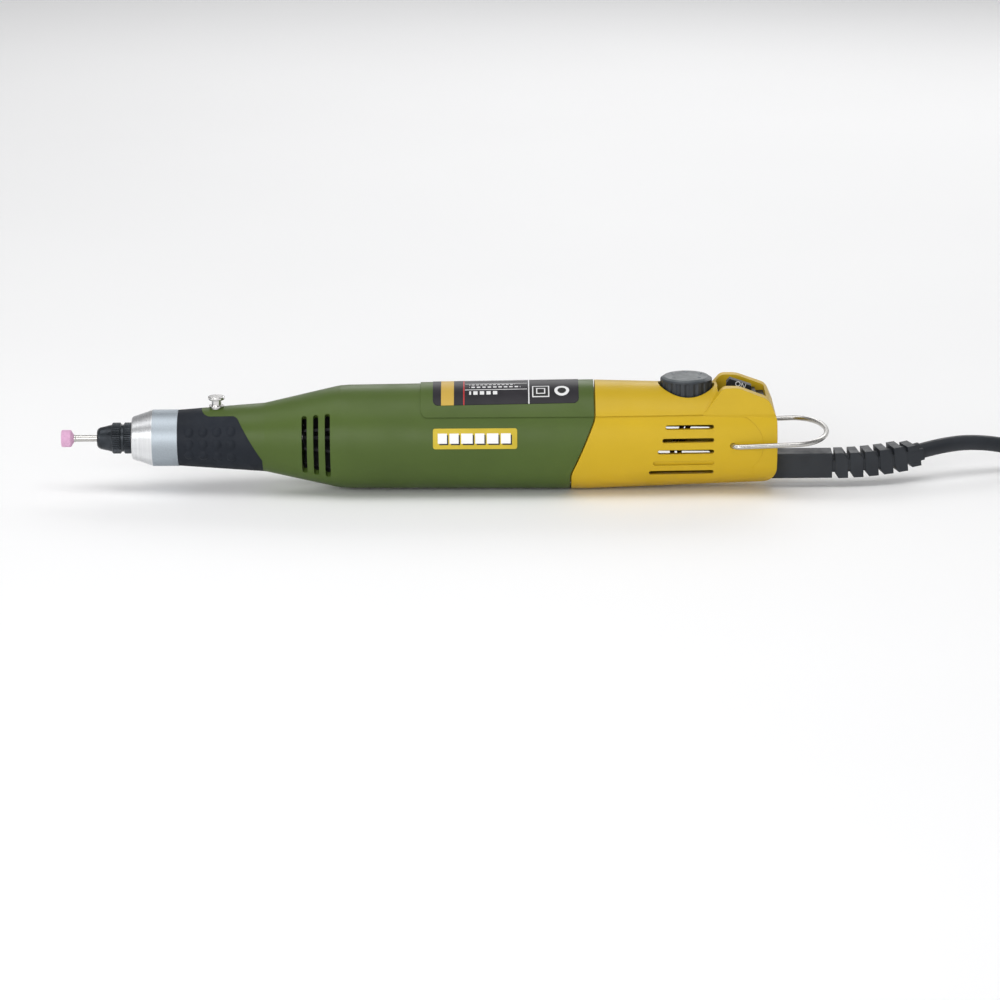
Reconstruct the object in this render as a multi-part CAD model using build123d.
from build123d import *
import os
from math import cos, pi, radians, sin, tan

# Rotary hobby tool with a corded motor: collet nose, rubber grip, green motor housing, yellow rear cover.
# Millimetres. Each piece is drawn with x measured from the tip of the stone along the spindle axis,
# and is then moved so that the origin is below the middle of the tool, on the surface it lies on.

# --- driving dimensions -------------------------------------------------------------------------------
axis_height = 19.05        # spindle axis above the surface that the tool lies on
wall = 2.0                 # moulded wall of both housings

# nose
stone_radius = 3.02
shank_radius = 1.175
nut_face = 12.7
nut_end = 24.8
nut_knurl_radius = 5.5
nut_groove_radius = 4.85
knurl_teeth = 48
collar_start = 25.1
collar_cone_end = 32.5
collar_end = 41.5
collar_radius = 10.0       # the 20 mm system fitting
bearing_radius = 8.0
bearing_width = 5.0
front_bearing_x = 28.6
rear_bearing_x = 66.4
spindle_radius = 4.0
lock_ring_radius = 5.5

# grip sleeve
sleeve_front_radius = 9.9
sleeve_rear_radius = 12.1
sleeve_end = 71.4
sleeve_thickness = 2.0
dome_radius = 1.7
dome_height = 0.6
dome_first_x = 45.8
dome_pitch = 4.95
dome_row_angle = 24.4

# motor housing
cone_start = 72.4
cone_end = 97.0
cone_end_radius = 17.75
shoulder_x = 102.0
shoulder_radius = 18.3
seam_x = 186.0
seam_radius = 19.05
slot_x = (86.5, 90.6, 94.7)
slot_width = 1.8
slot_half_angle = 38.7
band_start = 127.3         # raised band that carries the label
band_lower_z = 10.4
band_step = 0.2            # the band stands proud by this at the sides
band_lift = 0.25           # and by this much more on top
seam_gap = 0.5

# rear cover
cover_end = 252.4
cover_end_radius = 16.95
dial_x = 221.0
dial_radius = 9.1
dial_top_z = 21.1
dial_bottom_z = 13.8
recess_radius = 9.9
recess_floor_z = 13.5
channel_start = 231.9
channel_end = 248.8
channel_half_width = 8.6
channel_floor_z = 13.5
guard_top_z = 19.3         # walls on both sides of the switch
guard_top_y = 12.4
bail_pivot = (236.8, -0.2)
bail_wire_radius = 0.9
bail_leg_y = 19.5
bail_tip_reach = 33.9
bail_tilt = 2.0
step_circle_radius = 10.7
vent_rows = ((213.2, 6.4), (212.0, 1.9), (210.4, -2.2), (207.4, -10.3))
vent_right_end = 230.2
vent_height = 1.5
cover_screw_posts = ((196.0, -11.0), (196.0, 12.9), (246.2, 1.0))
cover_post_radius = 2.5
screw_radius = 1.1
screw_head_radius = 1.75
screw_head_y = (10.2, 11.8)
screw_tip_y = -12.0

# strain relief and cord
boot_z = -11.1
boot_half = 4.5
boot_block_end = 272.6
rib_count = 6
rib_pitch = 5.15
rib_thickness = 4.6
boot_yaw = 22.0            # the end of the boot points this far towards the back
boot_pitch = 8.0           # and this far up
cord_radius = 2.75

# spindle lock
lock_x = 55.1
lock_head_radius = 3.02
lock_top_z = 15.0

# hank of put-away cord, beyond the tool's end
hank_x = 410.0
hank_y = -6.0
hank_straight = 60.0
hank_inner_turn = 16.5
hank_outer_turn = 27.5
hank_layers = 2
tie_start = 380.0
tie_width = 6.0
tie_thickness = 0.9
tie_gap = 0.02

# plug, which lies on the hank with its pins towards the tool
plug_x = 428.0             # where the cord goes into the plug's neck
plug_length = 34.0
plug_half_width = 12.5
plug_half_height = 6.8
plug_neck_length = 8.0
plug_gap = 0.6             # between the plug and the hank
pin_radius = 2.0
pin_spacing = 19.0
pin_length = 19.0

# motor
shaft_radius = 2.0
armature_x = (112.0, 146.0)
can_x = (101.2, 163.0)
can_radius = 15.0
brush_x = 159.0

# electrics
board_z = 7.8
board_top_z = 9.2
wire_radius = 0.85


# --- helpers ------------------------------------------------------------------------------------------
def on_side(points):
    """Points (x, z) of the side view, as 3-D points in the plane y = 0."""
    return [(x, 0, z) for x, z in points]


def flat(points):
    """A face in the side view, from its corners."""
    return make_face(Polyline(*on_side(points), close=True))


def turned(points):
    """A body of revolution about the spindle axis, from its corners (x, radius)."""
    return revolve(flat(points), Axis.X, 360)


def tube(x0, x1, outer, inner):
    """A plain ring on the spindle axis."""
    return turned([(x0, inner), (x0, outer), (x1, outer), (x1, inner)])


def through(face, half_width=30):
    """A prism that a side-view face sweeps from side to side."""
    return extrude(face, amount=half_width, dir=(0, 1, 0), both=True)


def rounded_outline(points, radii):
    """A side-view face from its points in order, with the corners between the first and last rounded."""
    path = FilletPolyline(*on_side(points), radius=radii)
    closing = Line(path @ 1, path @ 0)
    return make_face(path.edges() + closing.edges())


def block(x0, x1, y0, y1, z0, z1):
    """A plain box between two corners."""
    size = (x1 - x0, y1 - y0, z1 - z0)
    return Pos((x0 + x1) / 2, (y0 + y1) / 2, (z0 + z1) / 2) * Box(*size)


def post_y(x, z, radius, y0, y1):
    """A cylinder that runs from y0 to y1."""
    bar = Cylinder(radius, y1 - y0, align=(Align.CENTER, Align.CENTER, Align.MIN))
    return Pos(x, y0, z) * Rot(-90, 0, 0) * bar


def along_x(x, z, radius, length):
    """A cylinder that runs back from x, in the middle plane."""
    bar = Cylinder(radius, length, align=(Align.CENTER, Align.CENTER, Align.MIN))
    return Pos(x, 0, z) * Rot(0, 90, 0) * bar


def post_z(x, y, radius, z0, z1):
    """A cylinder that runs from z0 to z1."""
    return Pos(x, y, z0) * Cylinder(radius, z1 - z0, align=(Align.CENTER, Align.CENTER, Align.MIN))


def around(shape, count, start=0.0):
    """Copies of a shape, evenly spaced round the spindle axis."""
    return [Rot(start + 360 * i / count, 0, 0) * shape for i in range(count)]


def group(shapes):
    """Separate solids that share one node."""
    return Compound(children=[s for shape in shapes for s in shape.solids()])


def coil_spring(turns, length, radius, wire):
    """A round wire spring along +Z from the origin."""
    path = Helix(length / turns, length, radius)
    section = Plane(origin=path @ 0, z_dir=path % 0) * Circle(wire)
    return sweep(section, path=path, is_frenet=True)


def save(name, shape):
    """Moves a piece from the spindle frame to the part's frame and writes it."""
    placed = Pos(-tool_length / 2, 0, axis_height) * shape
    export_step(placed, f"parts/{name}.step")


# --- shared outlines ----------------------------------------------------------------------------------
def sleeve_radius_at(x):
    """Outside radius of the grip at x."""
    share = (x - collar_end) / (sleeve_end - collar_end)
    return sleeve_front_radius + share * (sleeve_rear_radius - sleeve_front_radius)


def housing_radius_at(x):
    """Outside radius of the motor housing behind its shoulder, which widens towards the seam."""
    share = (x - shoulder_x) / (seam_x - shoulder_x)
    return shoulder_radius + share * (seam_radius - shoulder_radius)


def cover_radius_at(x):
    """Outside radius of the rear cover, which narrows towards its end."""
    share = (x - seam_x) / (cover_end - seam_x)
    return seam_radius + share * (cover_end_radius - seam_radius)


def seam_face(shift, side):
    """Everything before (side -1) or behind (side 1) the S-shaped seam between the two housings."""
    far = 20 if side < 0 else 300
    reach = 30
    points = [(188.2 + shift, reach), (188.2 + shift, 9.6), (179.7 + shift, -10.6), (179.7 + shift, -reach)]
    path = FilletPolyline(*on_side(points), radius=[8, 8])
    box = Polyline(*on_side([points[-1], (far, -reach), (far, reach), points[0]]))
    return make_face(path.edges() + box.edges())


def grip_face():
    """The side view of the rubber sleeve's area, with the green tongue left out at its top."""
    points = [
        (30, -25), (30, 25), (48.9, 25), (48.9, 8.9), (62.4, 9.3), (71.4, -6.0), (71.4, -25),
    ]
    return rounded_outline(points, [1, 1, 4.2, 2.4, 0.8])


def band_face():
    """The side view of the raised band: its lower edge, and the curve round the bail's pivot."""
    px, pz = bail_pivot
    rise = band_lower_z - pz
    turn_x = px + (step_circle_radius**2 - rise**2) ** 0.5
    corner = 2.5
    start = Polyline(*on_side([(band_start, 40), (band_start, band_lower_z + corner)]))
    front = ThreePointArc(
        (band_start, 0, band_lower_z + corner),
        (band_start + 0.29 * corner, 0, band_lower_z + 0.29 * corner),
        (band_start + corner, 0, band_lower_z),
    )
    low = Line((band_start + corner, 0, band_lower_z), (turn_x, 0, band_lower_z))
    end_angle = radians(-48)
    end = (px + step_circle_radius * cos(end_angle), pz + step_circle_radius * sin(end_angle))
    bend = ThreePointArc((turn_x, 0, band_lower_z), (px + step_circle_radius, 0, pz), (end[0], 0, end[1]))
    rest = Polyline(*on_side([end, (end[0], -40), (270, -40), (270, 40), (band_start, 40)]))
    return make_face(start.edges() + front.edges() + low.edges() + bend.edges() + rest.edges())


def tail_face():
    """The side view of the rear cover's tail: guard walls over the switch, rounded rear corners."""
    points = [
        (215, 0), (226.4, band_lower_z), (233.6, guard_top_z), (239.0, guard_top_z), (249.7, 15.2),
        (cover_end, 8.6),
        (cover_end, -17.3), (215, -18.6),
    ]
    return rounded_outline(points, [1, 3, 8, 4.5, 6.5, 8.5])


def tail_wedge():
    """The guard walls' cross-section, whose flanks lean inwards, run along the tail."""
    points = [(0, -13.6, -6), (0, -14.75, band_lower_z), (0, -guard_top_y, guard_top_z)]
    mirrored = [(0, -y, z) for _, y, z in reversed(points)]
    face = make_face(Polyline(*points, *mirrored, close=True))
    return Pos(215, 0, 0) * extrude(face, amount=cover_end - 215, dir=(1, 0, 0))


# --- nose ---------------------------------------------------------------------------------------------
def bit_shank():
    core = 0.98
    outline = [
        (0.8, 0), (0.8, core), (4.4, core), (4.4, 1.3), (4.9, 1.3), (5.1, shank_radius),
        (42.6, shank_radius), (43.0, 0.8), (43.0, 0),
    ]
    return turned(outline)


def abrasive_stone():
    bore = 1.0
    return turned([(0, 0), (0, 2.8), (0.2, stone_radius), (3.3, stone_radius), (4.4, 1.3), (4.4, bore),
                   (0.7, bore), (0.7, 0)])


def collet():
    body = turned([(13.0, 1.2), (13.0, 1.95), (15.5, 3.05), (16.0, 3.05), (16.1, 2.45), (30, 2.3), (30, 1.2)])
    slits = around(block(12, 25, 0.6, 4, -0.2, 0.2), 3)
    return body - slits


def knurled_ring(x0, x1):
    """A ring with fine teeth along the axis."""
    depth = 0.3
    corners = []
    for i in range(knurl_teeth):
        middle = 2 * pi * i / knurl_teeth
        half = pi / knurl_teeth
        tooth = (
            (middle - half * 0.45, nut_knurl_radius),
            (middle + half * 0.45, nut_knurl_radius),
            (middle + half, nut_knurl_radius - depth),
        )
        corners += [(0, radius * cos(angle), radius * sin(angle)) for angle, radius in tooth]
    face = make_face(Polyline(*corners, close=True))
    return Pos(x0, 0, 0) * extrude(face, amount=x1 - x0, dir=(1, 0, 0))


def collet_nut():
    bevel = 0.25
    body = turned([
        (nut_face, 1.6), (nut_face, 2.9), (13.2, 3.5), (13.9, 3.85), (18.0, 4.8), (18.2, 5.0),
        (nut_end - bevel, 5.0), (nut_end, 4.8), (nut_end, 1.6),
    ])
    rings = [knurled_ring(18.0, 21.2), knurled_ring(22.2, nut_end)]
    limits = turned([
        (17.9, 0), (17.9, 5.05), (18.35, nut_knurl_radius), (20.85, nut_knurl_radius), (21.3, 5.0),
        (22.1, 5.0), (22.55, nut_knurl_radius), (nut_end - 0.1, nut_knurl_radius), (nut_end, 5.2),
        (nut_end, 0),
    ])
    groove = tube(21.2, 22.2, 6, nut_groove_radius)
    inside = turned([(12, 0), (12, 2.1), (13.2, 2.1), (15.8, 3.25), (16.1, 3.62), (26, 3.62), (26, 0)])
    return body + [ring & limits for ring in rings] - groove - inside


def spindle():
    body = turned([
        (16.3, 2.55), (16.3, 3.3), (16.6, 3.55), (25.3, 3.55), (25.3, spindle_radius), (50.6, spindle_radius),
        (50.9, lock_ring_radius), (59.3, lock_ring_radius), (59.6, spindle_radius), (79.0, spindle_radius),
        (79.0, 0), (46.0, 0), (44.8, 2.55),
    ])
    holes = around(post_z(lock_x, 0, 1.75, 3.7, 7), 4)
    return body - holes


def front_collar():
    outline = [
        (collar_start, 4.6), (collar_start, 7.25), (25.5, 7.65), (collar_cone_end, collar_radius),
        (collar_end, collar_radius), (collar_end, bearing_radius), (front_bearing_x, bearing_radius),
        (front_bearing_x, 4.6),
    ]
    return turned(outline)


def bearing_parts():
    """Outer rings, inner rings and balls of the two spindle bearings."""
    starts = (front_bearing_x + 0.02, rear_bearing_x + 0.02)
    outer, inner, balls = [], [], []
    for x in starts:
        end = x + bearing_width
        middle = (x + end) / 2
        race = Pos(middle, 0, 0) * Rot(0, 90, 0) * Torus(6.0, 0.95)
        outer.append(tube(x, end, bearing_radius - 0.02, 6.7) - race)
        inner.append(tube(x, end, 5.3, spindle_radius + 0.01) - race)
        balls += around(Pos(middle, 0, 6.0) * Sphere(0.9), 9)
    return group(outer), group(inner), group(balls)


# --- grip and motor housing ---------------------------------------------------------------------------
def full_skin(step=0.0, lift=0.0):
    """The motor housing's and grip's outside, as a solid, made thicker by step and lifted."""
    outline = [
        (34.6, 0), (34.6, 7.95 + step), (collar_end + 0.1, 7.95 + step),
        (collar_end + 0.1, sleeve_front_radius + step),
        (sleeve_end, sleeve_rear_radius + step), (cone_start, sleeve_rear_radius + 0.1 + step),
        (cone_end, cone_end_radius + step), (99.0, 18.1 + step), (shoulder_x, shoulder_radius + step),
        (seam_x, seam_radius + step), (192, seam_radius + step), (192, 0),
    ]
    return Pos(0, 0, lift) * turned(outline)


def neck_core(extra=0.0):
    """The plastic neck below the sleeve."""
    front = sleeve_front_radius - sleeve_thickness + extra
    rear = sleeve_rear_radius - sleeve_thickness + extra
    return turned([(34.6, 0), (34.6, 7.95), (collar_end, 7.95), (collar_end, front), (sleeve_end + 2, rear),
                   (sleeve_end + 2, 0)])


def housing_cavity():
    return turned([
        (30, 0), (30, 6.3), (rear_bearing_x, 6.3), (rear_bearing_x, bearing_radius), (71.6, bearing_radius),
        (71.6, 8.6), (76, 10.2), (84, 12.5), (cone_end, 15.6), (shoulder_x, 16.2), (192, 17.0), (192, 0),
    ])


def slot_cutters():
    """The three vent slots on each side, which curve round the housing and have round ends."""
    cutters = []
    reach, half = 24, slot_width / 2
    for x in slot_x:
        cutters.append(flat_wedge(x - half, x + half, reach, radians(slot_half_angle)))
        for middle in (0, 180):
            for end in (-slot_half_angle, slot_half_angle):
                cutters.append(Rot(middle + end, 0, 0) * post_y(x, 0, half, 5, reach))
    return cutters


def flat_wedge(x0, x1, reach, half_angle):
    """Two opposite sectors round the axis, between x0 and x1."""
    y, z = reach * cos(half_angle), reach * sin(half_angle)
    near = make_face(Polyline((x0, 0, 0), (x0, -y, z), (x0, -y, -z), close=True))
    far = make_face(Polyline((x0, 0, 0), (x0, y, z), (x0, y, -z), close=True))
    return extrude(near, amount=x1 - x0, dir=(1, 0, 0)) + extrude(far, amount=x1 - x0, dir=(1, 0, 0))


def lock_hole():
    """The stepped hole for the lock button, its spring and its bush."""
    return (
        post_z(lock_x, 0, 1.65, 4, 8)
        + post_z(lock_x, 0, 2.65, 6.95, 10.45)
        + post_z(lock_x, 0, 2.2, 10.4, 14)
    )


def grip_area():
    """The prism that belongs to the rubber sleeve, less the seat of the lock button on top."""
    return through(grip_face()) - post_z(lock_x, 0, 5.0, 5, 30)


def motor_housing():
    grip = grip_area()
    shell = full_skin() - grip + neck_core()
    band = (full_skin(band_step, band_lift) & through(band_face())) - full_skin()
    body = (shell + band) & through(seam_face(0, -1))
    body = body - housing_cavity() - slot_cutters()
    return body - lock_hole()


def grip_sleeve():
    sleeve = (full_skin() & grip_area()) - neck_core(0.01)
    sleeve = sleeve & tube(collar_end + 0.1, 80, 20, 0)
    ball = (dome_radius**2 + dome_height**2) / (2 * dome_height)
    cut = neck_core(0.6)
    for column in range(4):
        x = dome_first_x + column * dome_pitch
        for row in (-1, 0, 1):
            for side in (0, 180):
                dome = Pos(x, 0, sleeve_radius_at(x) + dome_height - ball) * Sphere(ball)
                sleeve += Rot(90 + row * dome_row_angle + side, 0, 0) * dome - cut
    return sleeve


def rating_label():
    sheet = full_skin(band_step + 0.15, band_lift) - full_skin(band_step + 0.01, band_lift)
    middle = (131.7 + 182.9) / 2
    cutter = Pos(middle, 0, 5) * extrude(RectangleRounded(51.2, 25.6, 1.8), amount=30)
    return sheet & cutter


def badge_plate():
    sheet = full_skin(0.15) - full_skin(0.01)
    plate = Pos(146.45, 0, 3.3) * Rot(90, 0, 0) * extrude(RectangleRounded(29.5, 7.1, 0.8), amount=30)
    return sheet & plate


# --- spindle lock -------------------------------------------------------------------------------------
def lock_bush():
    body = post_z(lock_x, 0, 2.18, 10.5, 11.2) + post_z(lock_x, 0, 2.65, 11.15, 11.7)
    return body - post_z(lock_x, 0, 1.82, 9, 12)


def lock_button():
    head = post_z(lock_x, 0, lock_head_radius, lock_top_z - 1.2, lock_top_z)
    head = fillet(head.edges().filter_by(GeomType.CIRCLE), 0.4)
    stem = post_z(lock_x, 0, 1.75, 9.9, lock_top_z - 1)
    flange = post_z(lock_x, 0, 2.3, 9.9, 10.4)
    pin = post_z(lock_x, 0, 1.5, 6.1, 10)
    return head + stem + flange + pin


def lock_spring():
    return Pos(lock_x, 0, 7.2) * coil_spring(3, 2.4, 2.05, 0.22)


# --- motor --------------------------------------------------------------------------------------------
def shaft_coupling():
    body = turned([(74, 4.02), (74, 6.0), (74.5, 6.5), (83.5, 6.5), (84, 6.0), (84, shaft_radius + 0.02),
                   (79.2, shaft_radius + 0.02), (79.2, 4.02)])
    screw_hole = post_z(76.6, 0, 1.2, 4, 8)
    return body - screw_hole


def cooling_fan():
    hub = tube(85.5, 96.8, 4.2, shaft_radius + 0.01)
    disc = tube(95.8, 96.8, 14.0, 4)
    outline = flat([(86.2, 3.8), (86.2, 11.4), (95.9, 13.9), (95.9, 3.8)])
    blade = extrude(outline, amount=0.5, dir=(0, 1, 0), both=True)
    return hub + disc + around(blade, 11)


def motor_front_plate():
    return tube(99.4, 101.1, 14.9, 4.55)


def motor_can():
    shell = tube(can_x[0], can_x[1], can_radius, 14.0)
    windows = [post_y(155.0, 0, 2.2, 12, 18), post_y(155.0, 0, 2.2, -18, -12)]
    return shell - windows


def magnets():
    ring = tube(108, 150, 13.95, 11.6)
    sides = [block(100, 155, -20, 20, 5.0, 20), block(100, 155, -20, 20, -20, -5.0)]
    return group([ring & side for side in sides])


def armature_core():
    core = tube(armature_x[0], armature_x[1], 11.0, shaft_radius + 0.01)
    slots = around(block(110, 148, -0.8, 0.8, 6.0, 12), 9)
    return core - slots


def armature_windings():
    front = turned([(105.5, 3.2), (105.5, 6.5), (107.5, 9.4), (111.9, 9.9), (111.9, 3.2)])
    rear = turned([(146.1, 3.2), (146.1, 9.9), (150.5, 9.2), (152.5, 6.5), (152.5, 3.2)])
    return group([front, rear])


def commutator():
    body = tube(154.2, 162.2, 4.5, shaft_radius + 0.01)
    return body - around(block(156, 163, -0.2, 0.2, 3.9, 6), 9)


def motor_shaft():
    return turned([(79.4, 0), (79.4, shaft_radius), (171.7, shaft_radius), (172, 1.7), (172, 0)])


def motor_bushes():
    bore = shaft_radius + 0.04
    return group([tube(98.4, 102.4, 4.53, bore), tube(163.4, 168.0, 4.53, bore)])


def brush_plate():
    return tube(163.1, 166.6, 14.9, 4.55)


def brush_holders():
    holders = []
    for side in (-1, 1):
        low, high = sorted((5.6 * side, 13.4 * side))
        body = block(brush_x - 2.8, 163.0, low, high, -2.3, 2.3)
        holders.append(body - block(brush_x - 2.05, brush_x + 2.05, -25, 25, -1.55, 1.55))
    return group(holders)


def brushes():
    near = block(brush_x - 2.0, brush_x + 2.0, -10.0, -4.55, -1.5, 1.5)
    far = block(brush_x - 2.0, brush_x + 2.0, 4.55, 10.0, -1.5, 1.5)
    return group([near, far])


def brush_springs():
    spring = Pos(brush_x, 10.3, 0) * Rot(-90, 0, 0) * coil_spring(4, 2.8, 1.1, 0.15)
    return group([spring, mirror(spring, Plane.XZ)])


def motor_mount_rings():
    rings = [tube(104, 108, 16.15, can_radius + 0.05), tube(157, 161, 16.6, can_radius + 0.05)]
    return group(rings)


# --- rear cover ---------------------------------------------------------------------------------------
def cover_skin(step=0.0, lift=0.0):
    outline = [(178, 0), (178, seam_radius + step), (seam_x, seam_radius + step),
               (cover_end, cover_end_radius + step), (cover_end, 0)]
    return Pos(0, 0, lift) * turned(outline)


def cover_cavity():
    """The room inside: round in front, and a closed box below the switch."""
    inner = seam_radius - wall - 0.1
    last = cover_end_radius - wall
    back = cover_end - wall
    hollow = turned([(170, 0), (170, inner), (seam_x, inner), (back, last), (back, 0)])
    return hollow & block(170, 260, -30, 30, -30, 12.2)


def cover_roof_cavity():
    """The taller room in front of the dial."""
    inner = seam_radius - wall - 0.1
    return turned([(170, 0), (170, inner), (207, inner - 0.7), (207, 0)])


def vent_cutters():
    """Long side vents through both walls, with round ends, and one blind groove in their row."""
    cutters = []
    half = vent_height / 2
    for left, z in vent_rows:
        slot = block(left + half, vent_right_end - half, -30, 30, z - half, z + half)
        ends = [post_y(x, z, half, -30, 30) for x in (left + half, vent_right_end - half)]
        cutters += [slot, *ends]
    blind_x, blind_z, depth = 208.9, -6.5, 0.5
    groove = block(blind_x + half, vent_right_end - half, -30, 30, blind_z - half, blind_z + half)
    for x in (blind_x + half, vent_right_end - half):
        groove += post_y(x, blind_z, half, -30, 30)
    cutters.append(groove - cover_skin(-depth))
    return cutters


def cover_body():
    """Both halves of the rear cover as one, before they are split along the middle."""
    outside = cover_skin() + (cover_skin(band_step, band_lift) & through(band_face()))
    outside = outside & through(rear_rounding())
    outside = outside + (tail_wedge() & through(tail_face()))
    outside = outside & through(seam_face(seam_gap, 1))
    shell = outside - cover_cavity() - cover_roof_cavity()
    spigot_ring = tube(170, 195, 16.75, 15.3)
    spigot = spigot_ring & through(seam_face(-4.5, 1)) & through(seam_face(4.0, -1))
    shell = shell + spigot
    post_room = cover_skin(-0.6)    # so that the posts join the walls but don't show outside
    shell = shell + [post_y(x, z, cover_post_radius, -15.9, 15.9) & post_room for x, z in cover_screw_posts]
    shell = shell - post_z(dial_x, 0, recess_radius, recess_floor_z, 30)
    shell = shell - post_z(dial_x, 0, 3.3, 5, 20)
    side = channel_half_width
    shell = shell - block(channel_start, channel_end, -side, side, channel_floor_z, 30)
    shell = shell - block(235.2, 245.4, -2.2, 2.2, 10, 20)
    shell = shell - vent_cutters()
    px, pz = bail_pivot
    shell = shell - post_y(px, pz, bail_wire_radius + 0.08, -25, 25)
    boot_hole = boot_half + 0.05
    return shell - block(247.5, 260, -boot_hole, boot_hole, boot_z - boot_hole, boot_z + boot_hole)


def rear_rounding():
    """The side view that gives the round part its rounded rear corners."""
    top = [(150, 0), (150, 30), (232.5, 30), (239.0, guard_top_z), (249.7, 15.2), (cover_end, 8.6)]
    bottom = [(cover_end, -17.2), (243, -17.7), (150, -20.6), (150, -1)]
    return rounded_outline([*top, *bottom], [0.5, 0.5, 4, 4.5, 6.5, 8.5, 3, 0.5])


def rear_cover_half(side, body):
    """One moulded half: side -1 faces the front, 1 faces the back and takes the screws."""
    low, high = (-40, -0.02) if side < 0 else (0.02, 40)
    half = body & block(150, 270, low, high, -40, 40)
    for x, z in cover_screw_posts:
        half -= post_y(x, z, screw_radius + 0.05, screw_tip_y - 0.2, 25)
        if side > 0:
            half -= post_y(x, z, screw_head_radius + 0.2, screw_head_y[0], 30)
    return half


def cover_screws():
    """Cross-head screws, driven in from the far side."""
    bottom, top = screw_head_y
    slot, reach = 0.25, 1.1
    screws = []
    for x, z in cover_screw_posts:
        screw = post_y(x, z, screw_radius, screw_tip_y, bottom + 0.1)
        screw += post_y(x, z, screw_head_radius, bottom, top)
        screw -= block(x - reach, x + reach, top - 0.8, top + 1, z - slot, z + slot)
        screw -= block(x - slot, x + slot, top - 0.8, top + 1, z - reach, z + reach)
        screws.append(screw)
    return group(screws)


# --- controls -----------------------------------------------------------------------------------------
def speed_dial():
    height = dial_top_z - dial_bottom_z
    body = post_z(dial_x, 0, dial_radius, dial_bottom_z, dial_top_z)
    body = chamfer(body.edges().group_by(Axis.Z)[-1], 0.9, 1.3)
    flute_radius = 1.1
    for i in range(18):
        angle = 2 * pi * (i + 0.5) / 18
        x = dial_x + (dial_radius + 0.62) * cos(angle)
        y = (dial_radius + 0.62) * sin(angle)
        body -= post_z(x, y, flute_radius, dial_bottom_z - 1, dial_bottom_z + height - 1.2)
    return body + post_z(dial_x, 0, 3.0, 9.5, dial_bottom_z + 0.5)


def dial_potentiometer():
    body = block(dial_x - 6, dial_x + 6, -6, 6, 9.25, 11.9)
    return body - post_z(dial_x, 0, 3.05, 9.4, 13)


def switch_knob():
    plate = block(235.1, 245.6, -8.2, 8.2, 13.65, 14.9)
    fin = rounded_outline(
        [(239, 14.0), (235.2, 14.6), (235.2, 18.8), (236.4, 20.2), (244.0, 17.6), (244.0, 14.0), (240, 14.0)],
        [0.3, 0.5, 0.3, 0.5, 0.2],
    )
    stem = block(238.6, 242.2, -1.9, 1.9, 11.0, 14)
    return plate + extrude(fin, amount=1.75, dir=(0, 1, 0), both=True) + stem


def slide_switch_body():
    body = block(234.0, 247.0, -5, 5, 9.25, 12.0)
    return body - block(235.0, 243.0, -2.1, 2.1, 10.2, 13)


def hanging_bail():
    px, pz = bail_pivot
    reach_x, leg, inside = 11.5, bail_leg_y, 14.6
    centre = px + bail_tip_reach - reach_x
    bend = 2.4
    legs = []
    for side in (-1, 1):
        corners = [(px, side * inside, pz), (px, side * leg, pz), (centre, side * leg, pz)]
        path = FilletPolyline(*corners, radius=bend)
        section = Plane(origin=path @ 0, z_dir=path % 0) * Circle(bail_wire_radius)
        legs.append(sweep(section, path=path))
    plane = Plane(origin=(centre, 0, pz), x_dir=(1, 0, 0), z_dir=(0, 0, 1))
    loop = plane * EllipticalCenterArc((0, 0), reach_x, leg, start_angle=-90, arc_size=180)
    section = Plane(origin=loop @ 0, z_dir=loop % 0) * Circle(bail_wire_radius)
    wire = legs[0] + legs[1] + sweep(section, path=loop)
    pivot = Axis((px, 0, pz), (0, 1, 0))
    return wire.rotate(pivot, -bail_tilt)


# --- electrics ----------------------------------------------------------------------------------------
def circuit_board():
    return block(178, 248, -11, 11, board_z, board_top_z)


def triac():
    sink = block(179, 189, -7, 7, 1.4, 2.4)
    body = block(180, 188, -4, 4, 2.4, board_z - 0.05)
    return sink + body


def capacitor():
    return fillet(block(191.5, 206, -9.5, -1, -1.0, board_z - 0.05).edges().filter_by(Axis.Z), 0.8)


def choke():
    drum = post_z(199, 5, 4.4, -1.0, board_z - 0.05)
    return drum - (post_z(199, 5, 6, 0.4, 6.2) - post_z(199, 5, 3.2, 0, 7))


def lead_wires():
    """Two insulated wires from the cord's inner end up to the board."""
    wires = []
    for shift, y in ((0.0, -1.3), (2.6, 1.3)):
        path = FilletPolyline(
            (231.6, y, boot_z), (226.0 + shift, y, boot_z + 1.4), (216.3 + shift, y, boot_z + 2.6),
            (216.0 + shift, y, -5.0), (219.4 + shift, y, 2.5), (219.8 + shift, y, board_z - 0.1),
            radius=[5, 1.6, 4, 2])
        section = Plane(origin=path @ 0, z_dir=path % 0) * Circle(wire_radius)
        wires.append(sweep(section, path=path))
    return group(wires)


def cord_inner_end():
    return along_x(232, boot_z, cord_radius, 40.5)


def cord_clamp():
    top = boot_z + cord_radius
    bar = block(236.4, 241.4, -8.6, 8.6, top + 0.05, top + 2.2)
    return bar - [post_z(238.9, y, 1.2, -12, 0) for y in (-6.4, 6.4)]


def clamp_saddle():
    """The block below the cord that the clamp bar is screwed to; it fits the round floor of the cover."""
    base = block(236.4, 241.4, -8.6, 8.6, -16, boot_z + cord_radius - 0.3) & tube(236.4, 241.4, 15.1, 0)
    base = base - along_x(230, boot_z, cord_radius + 0.05, 20)
    return base - [post_z(238.9, y, 0.95, -20, 0) for y in (-6.4, 6.4)]


def clamp_screws():
    top = boot_z + cord_radius + 2.2
    screws = []
    for y in (-6.4, 6.4):
        shank = post_z(238.9, y, 0.9, boot_z - 1.5, top + 0.1)
        screws.append(shank + post_z(238.9, y, 1.9, top + 0.05, top + 1.4))
    return group(screws)


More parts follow.
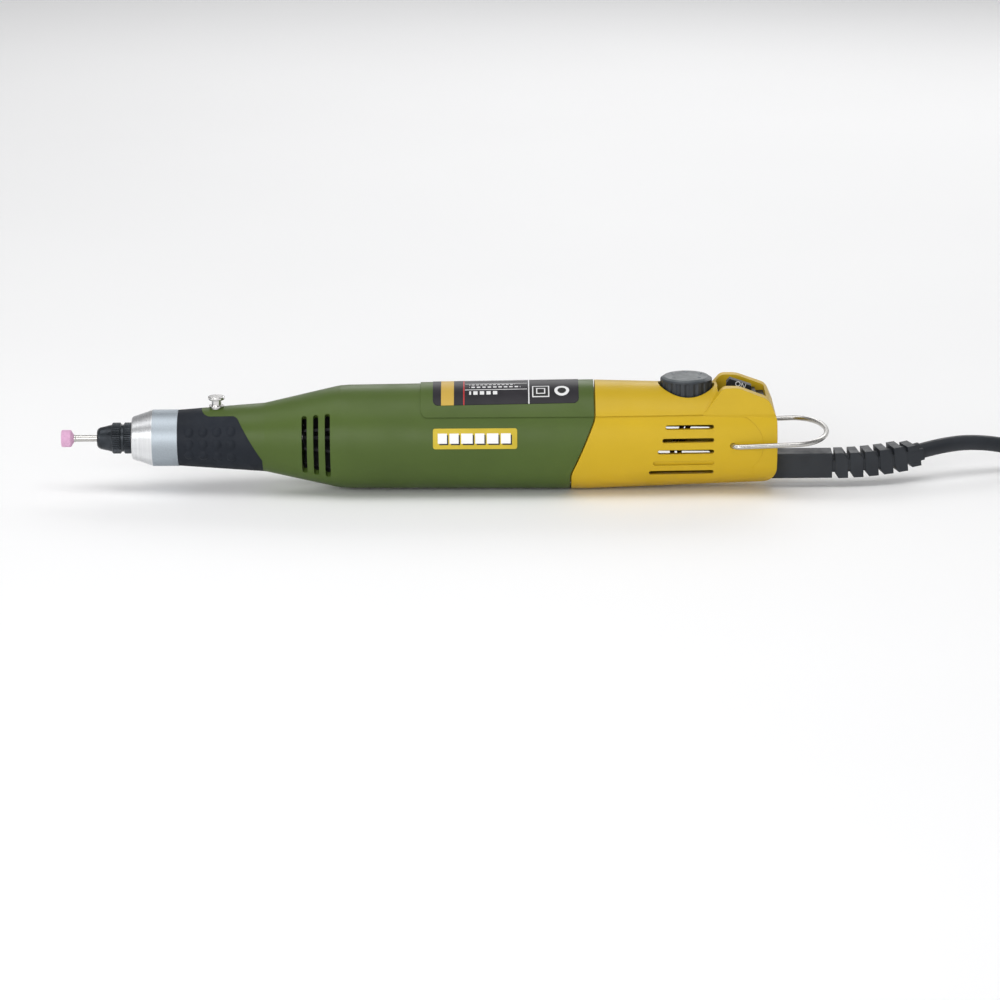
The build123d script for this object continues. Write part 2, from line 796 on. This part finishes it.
# --- strain relief ------------------------------------------------------------------------------------
boot_bend_length = rib_count * rib_pitch + 1.6
end_direction = Vector(
    cos(radians(boot_pitch)) * cos(radians(boot_yaw)),
    cos(radians(boot_pitch)) * sin(radians(boot_yaw)),
    sin(radians(boot_pitch)),
)
bend_angle = radians(Vector(1, 0, 0).get_angle(end_direction))
bend_radius = boot_bend_length / bend_angle
bend_side = Vector(0, end_direction.Y, end_direction.Z).normalized()


def boot_plane(length):
    """The cross-section plane of the bent boot at a length behind its straight block."""
    turn = length / bend_radius
    along = bend_radius * sin(turn)
    aside = bend_radius * (1 - cos(turn))
    origin = Vector(boot_block_end + along, 0, boot_z) + bend_side * aside
    direction = Vector(cos(turn), 0, 0) + bend_side * sin(turn)
    level = Vector(0, 0, 1).cross(direction).normalized()
    return Plane(origin=origin, x_dir=level, z_dir=direction)


def boot_rib(start, scale):
    """A leaning rib: cut away at its lower front corner and its upper rear corner."""
    h, t = boot_half * scale, rib_thickness
    corners = [(0, -0.6 * h), (0, h), (0.66 * t, h), (t, 0.5 * h), (t, -h), (0.25 * t, -h)]
    plane = boot_plane(start)
    side = Plane(origin=plane.origin, x_dir=plane.z_dir, z_dir=plane.x_dir)
    flip = -1 if side.y_dir.Z < 0 else 1
    face = make_face(Polyline(*[(x, flip * y) for x, y in corners], close=True))
    return extrude(side * face, amount=h, both=True)


def boot_core():
    end = boot_plane(boot_bend_length)
    middle = boot_plane(boot_bend_length / 2)
    start = boot_plane(0)
    path = ThreePointArc(start.origin, middle.origin, end.origin)
    web = start * Pos(0, -0.2) * RectangleRounded(1.88 * boot_half, 0.96 * boot_half, 0.8)
    return sweep(start * Circle(3.3), path=path) + sweep(web, path=path)


def strain_relief():
    flange = block(247.6, 250.2, -5.6, 5.6, boot_z - boot_half, boot_z + 5.6) & tube(247, 251, 14.7, 0)
    bar = block(247.6, boot_block_end, -boot_half, boot_half, boot_z - boot_half, boot_z + boot_half)
    bar = fillet(bar.edges().filter_by(Axis.X), 0.6)
    body = bar + flange - along_x(240, boot_z, cord_radius + 0.03, boot_block_end - 0.1 - 240)
    ribs = [boot_rib(1.0 + i * rib_pitch, 1.0 if i < rib_count - 1 else 0.86) for i in range(rib_count)]
    return body + boot_core() + ribs


# --- free cord ----------------------------------------------------------------------------------------
floor_z = -axis_height
boot_end = boot_plane(boot_bend_length)
cord_start = (boot_end.origin.X, boot_end.origin.Y, boot_end.origin.Z)
lying_z = floor_z + cord_radius
cord_points = [
    cord_start,
    (315.0, 10.9, -7.0),
    (330.0, 15.3, -7.9),
    (345.0, 18.6, -12.2),
    (358.8, 19.5, lying_z),
]
hank_top_z = floor_z + hank_layers * 2 * cord_radius
top_z = hank_top_z + cord_radius + 0.3
plug_y = hank_y - hank_inner_turn
plug_z = hank_top_z + plug_gap + plug_half_height
lead_points = [
    (plug_x, plug_y + 37.3, top_z),
    (plug_x + 10.0, plug_y + 37.3, top_z + 0.1),
    (plug_x + 18.7, plug_y + 32.3, top_z + 0.5),
    (plug_x + 23.7, plug_y + 23.7, top_z + 1.2),
    (plug_x + 23.7, plug_y + 13.7, top_z + 2.0),
    (plug_x + 18.7, plug_y + 5.0, top_z + 2.9),
    (plug_x + 10.0, plug_y, plug_z - 0.4),
    (plug_x, plug_y, plug_z),
]


def corner_radii(points):
    """An arc for each corner of a route: 0.45 of the shorter run over the tangent of half the turn."""
    radii = []
    for before, here, after in zip(points, points[1:], points[2:]):
        first = Vector(*here) - Vector(*before)
        second = Vector(*after) - Vector(*here)
        turn = radians(first.get_angle(second))
        radii.append(0.45 * min(first.length, second.length) / tan(turn / 2))
    return radii


def cord_tube(name, points):
    """The cord along a route, and what its volume should be."""
    radii = corner_radii(points)
    path = FilletPolyline(*points, radius=radii)
    section = Plane(origin=path @ 0, z_dir=path % 0) * Circle(cord_radius)
    solid = sweep(section, path=path)
    expected = pi * cord_radius**2 * path.length
    print(name, "radii", [round(r, 1) for r in radii], "length", round(path.length, 1),
          "volume ratio", round(solid.volume / expected, 4))
    return solid


def stadium(turn_radius):
    """A long rounded outline of the hank, seen from above."""
    return SlotCenterToCenter(hank_straight, 2 * turn_radius)


def power_cord_hank():
    outer = extrude(stadium(hank_outer_turn + cord_radius), amount=hank_top_z - floor_z)
    inner = extrude(stadium(hank_inner_turn - cord_radius), amount=hank_top_z - floor_z)
    return Pos(hank_x, hank_y, floor_z) * (outer - inner)


def cord_tie():
    """A flat strap round the near side of the hank."""
    y = hank_y - (hank_inner_turn + hank_outer_turn) / 2
    half = (hank_outer_turn - hank_inner_turn) / 2 + cord_radius
    end = tie_start + tie_width
    wide, room = half + tie_thickness, half + tie_gap
    outer = block(tie_start, end, y - wide, y + wide, floor_z, hank_top_z + tie_thickness)
    inner = block(tie_start - 1, end + 1, y - room, y + room, floor_z - 1, hank_top_z + tie_gap)
    return outer - inner


def plug_body():
    """A flat two-pin plug with a tapered neck for the cord; its pins point to -X."""
    x1 = plug_x - plug_neck_length
    x0 = plug_x - plug_length
    w, h = plug_half_width, plug_half_height
    body = block(x0, x1, plug_y - w, plug_y + w, plug_z - h, plug_z + h)
    body = fillet(body.edges().filter_by(Axis.X), 5.0)
    body = chamfer(body.faces().sort_by(Axis.X)[-1].edges(), 3.0)
    neck = Cone(4.8, 3.7, plug_neck_length + 0.5, align=(Align.CENTER, Align.CENTER, Align.MIN))
    neck = Pos(x1 - 0.5, plug_y, plug_z) * Rot(0, 90, 0) * neck
    return body + neck


def plug_pins():
    x0 = plug_x - plug_length
    pins = []
    for side in (-1, 1):
        pin = Cylinder(pin_radius, pin_length, align=(Align.CENTER, Align.CENTER, Align.MIN))
        pin = fillet(pin.edges().group_by(Axis.Z)[-1], 0.9)
        pins.append(Pos(x0, plug_y + side * pin_spacing / 2, plug_z) * Rot(0, -90, 0) * pin)
    return group(pins)


# --- write every piece --------------------------------------------------------------------------------
os.makedirs("parts", exist_ok=True)
boot = strain_relief()
tool_length = boot.bounding_box().max.X    # tip of the stone to the end of the strain relief
outer_rings, inner_rings, bearing_balls = bearing_parts()
cover = cover_body()
pieces = {
    "bit_shank": bit_shank(),
    "abrasive_stone": abrasive_stone(),
    "collet": collet(),
    "collet_nut": collet_nut(),
    "spindle": spindle(),
    "front_collar": front_collar(),
    "bearing_outer_rings": outer_rings,
    "bearing_inner_rings": inner_rings,
    "bearing_balls": bearing_balls,
    "grip_sleeve": grip_sleeve(),
    "motor_housing": motor_housing(),
    "rating_label": rating_label(),
    "badge_plate": badge_plate(),
    "lock_bush": lock_bush(),
    "lock_button": lock_button(),
    "lock_spring": lock_spring(),
    "shaft_coupling": shaft_coupling(),
    "cooling_fan": cooling_fan(),
    "motor_front_plate": motor_front_plate(),
    "motor_can": motor_can(),
    "magnets": magnets(),
    "armature_core": armature_core(),
    "armature_windings": armature_windings(),
    "commutator": commutator(),
    "motor_shaft": motor_shaft(),
    "motor_bushes": motor_bushes(),
    "brush_plate": brush_plate(),
    "brush_holders": brush_holders(),
    "brushes": brushes(),
    "brush_springs": brush_springs(),
    "motor_mount_rings": motor_mount_rings(),
    "rear_cover_front_half": rear_cover_half(-1, cover),
    "rear_cover_back_half": rear_cover_half(1, cover),
    "cover_screws": cover_screws(),
    "speed_dial": speed_dial(),
    "dial_potentiometer": dial_potentiometer(),
    "switch_knob": switch_knob(),
    "slide_switch_body": slide_switch_body(),
    "hanging_bail": hanging_bail(),
    "circuit_board": circuit_board(),
    "triac": triac(),
    "capacitor": capacitor(),
    "choke": choke(),
    "lead_wires": lead_wires(),
    "cord_inner_end": cord_inner_end(),
    "cord_clamp": cord_clamp(),
    "clamp_saddle": clamp_saddle(),
    "clamp_screws": clamp_screws(),
    "strain_relief": boot,
    "power_cord": cord_tube("power_cord", cord_points),
    "power_cord_hank": power_cord_hank(),
    "plug_lead": cord_tube("plug_lead", lead_points),
    "cord_tie": cord_tie(),
    "plug_body": plug_body(),
    "plug_pins": plug_pins(),
}
for name, shape in pieces.items():
    save(name, shape)
print("tool length", round(tool_length, 3), "cord starts at", [round(v, 2) for v in cord_start])
print("cord leaves towards", [round(v, 4) for v in (end_direction.X, end_direction.Y, end_direction.Z)])
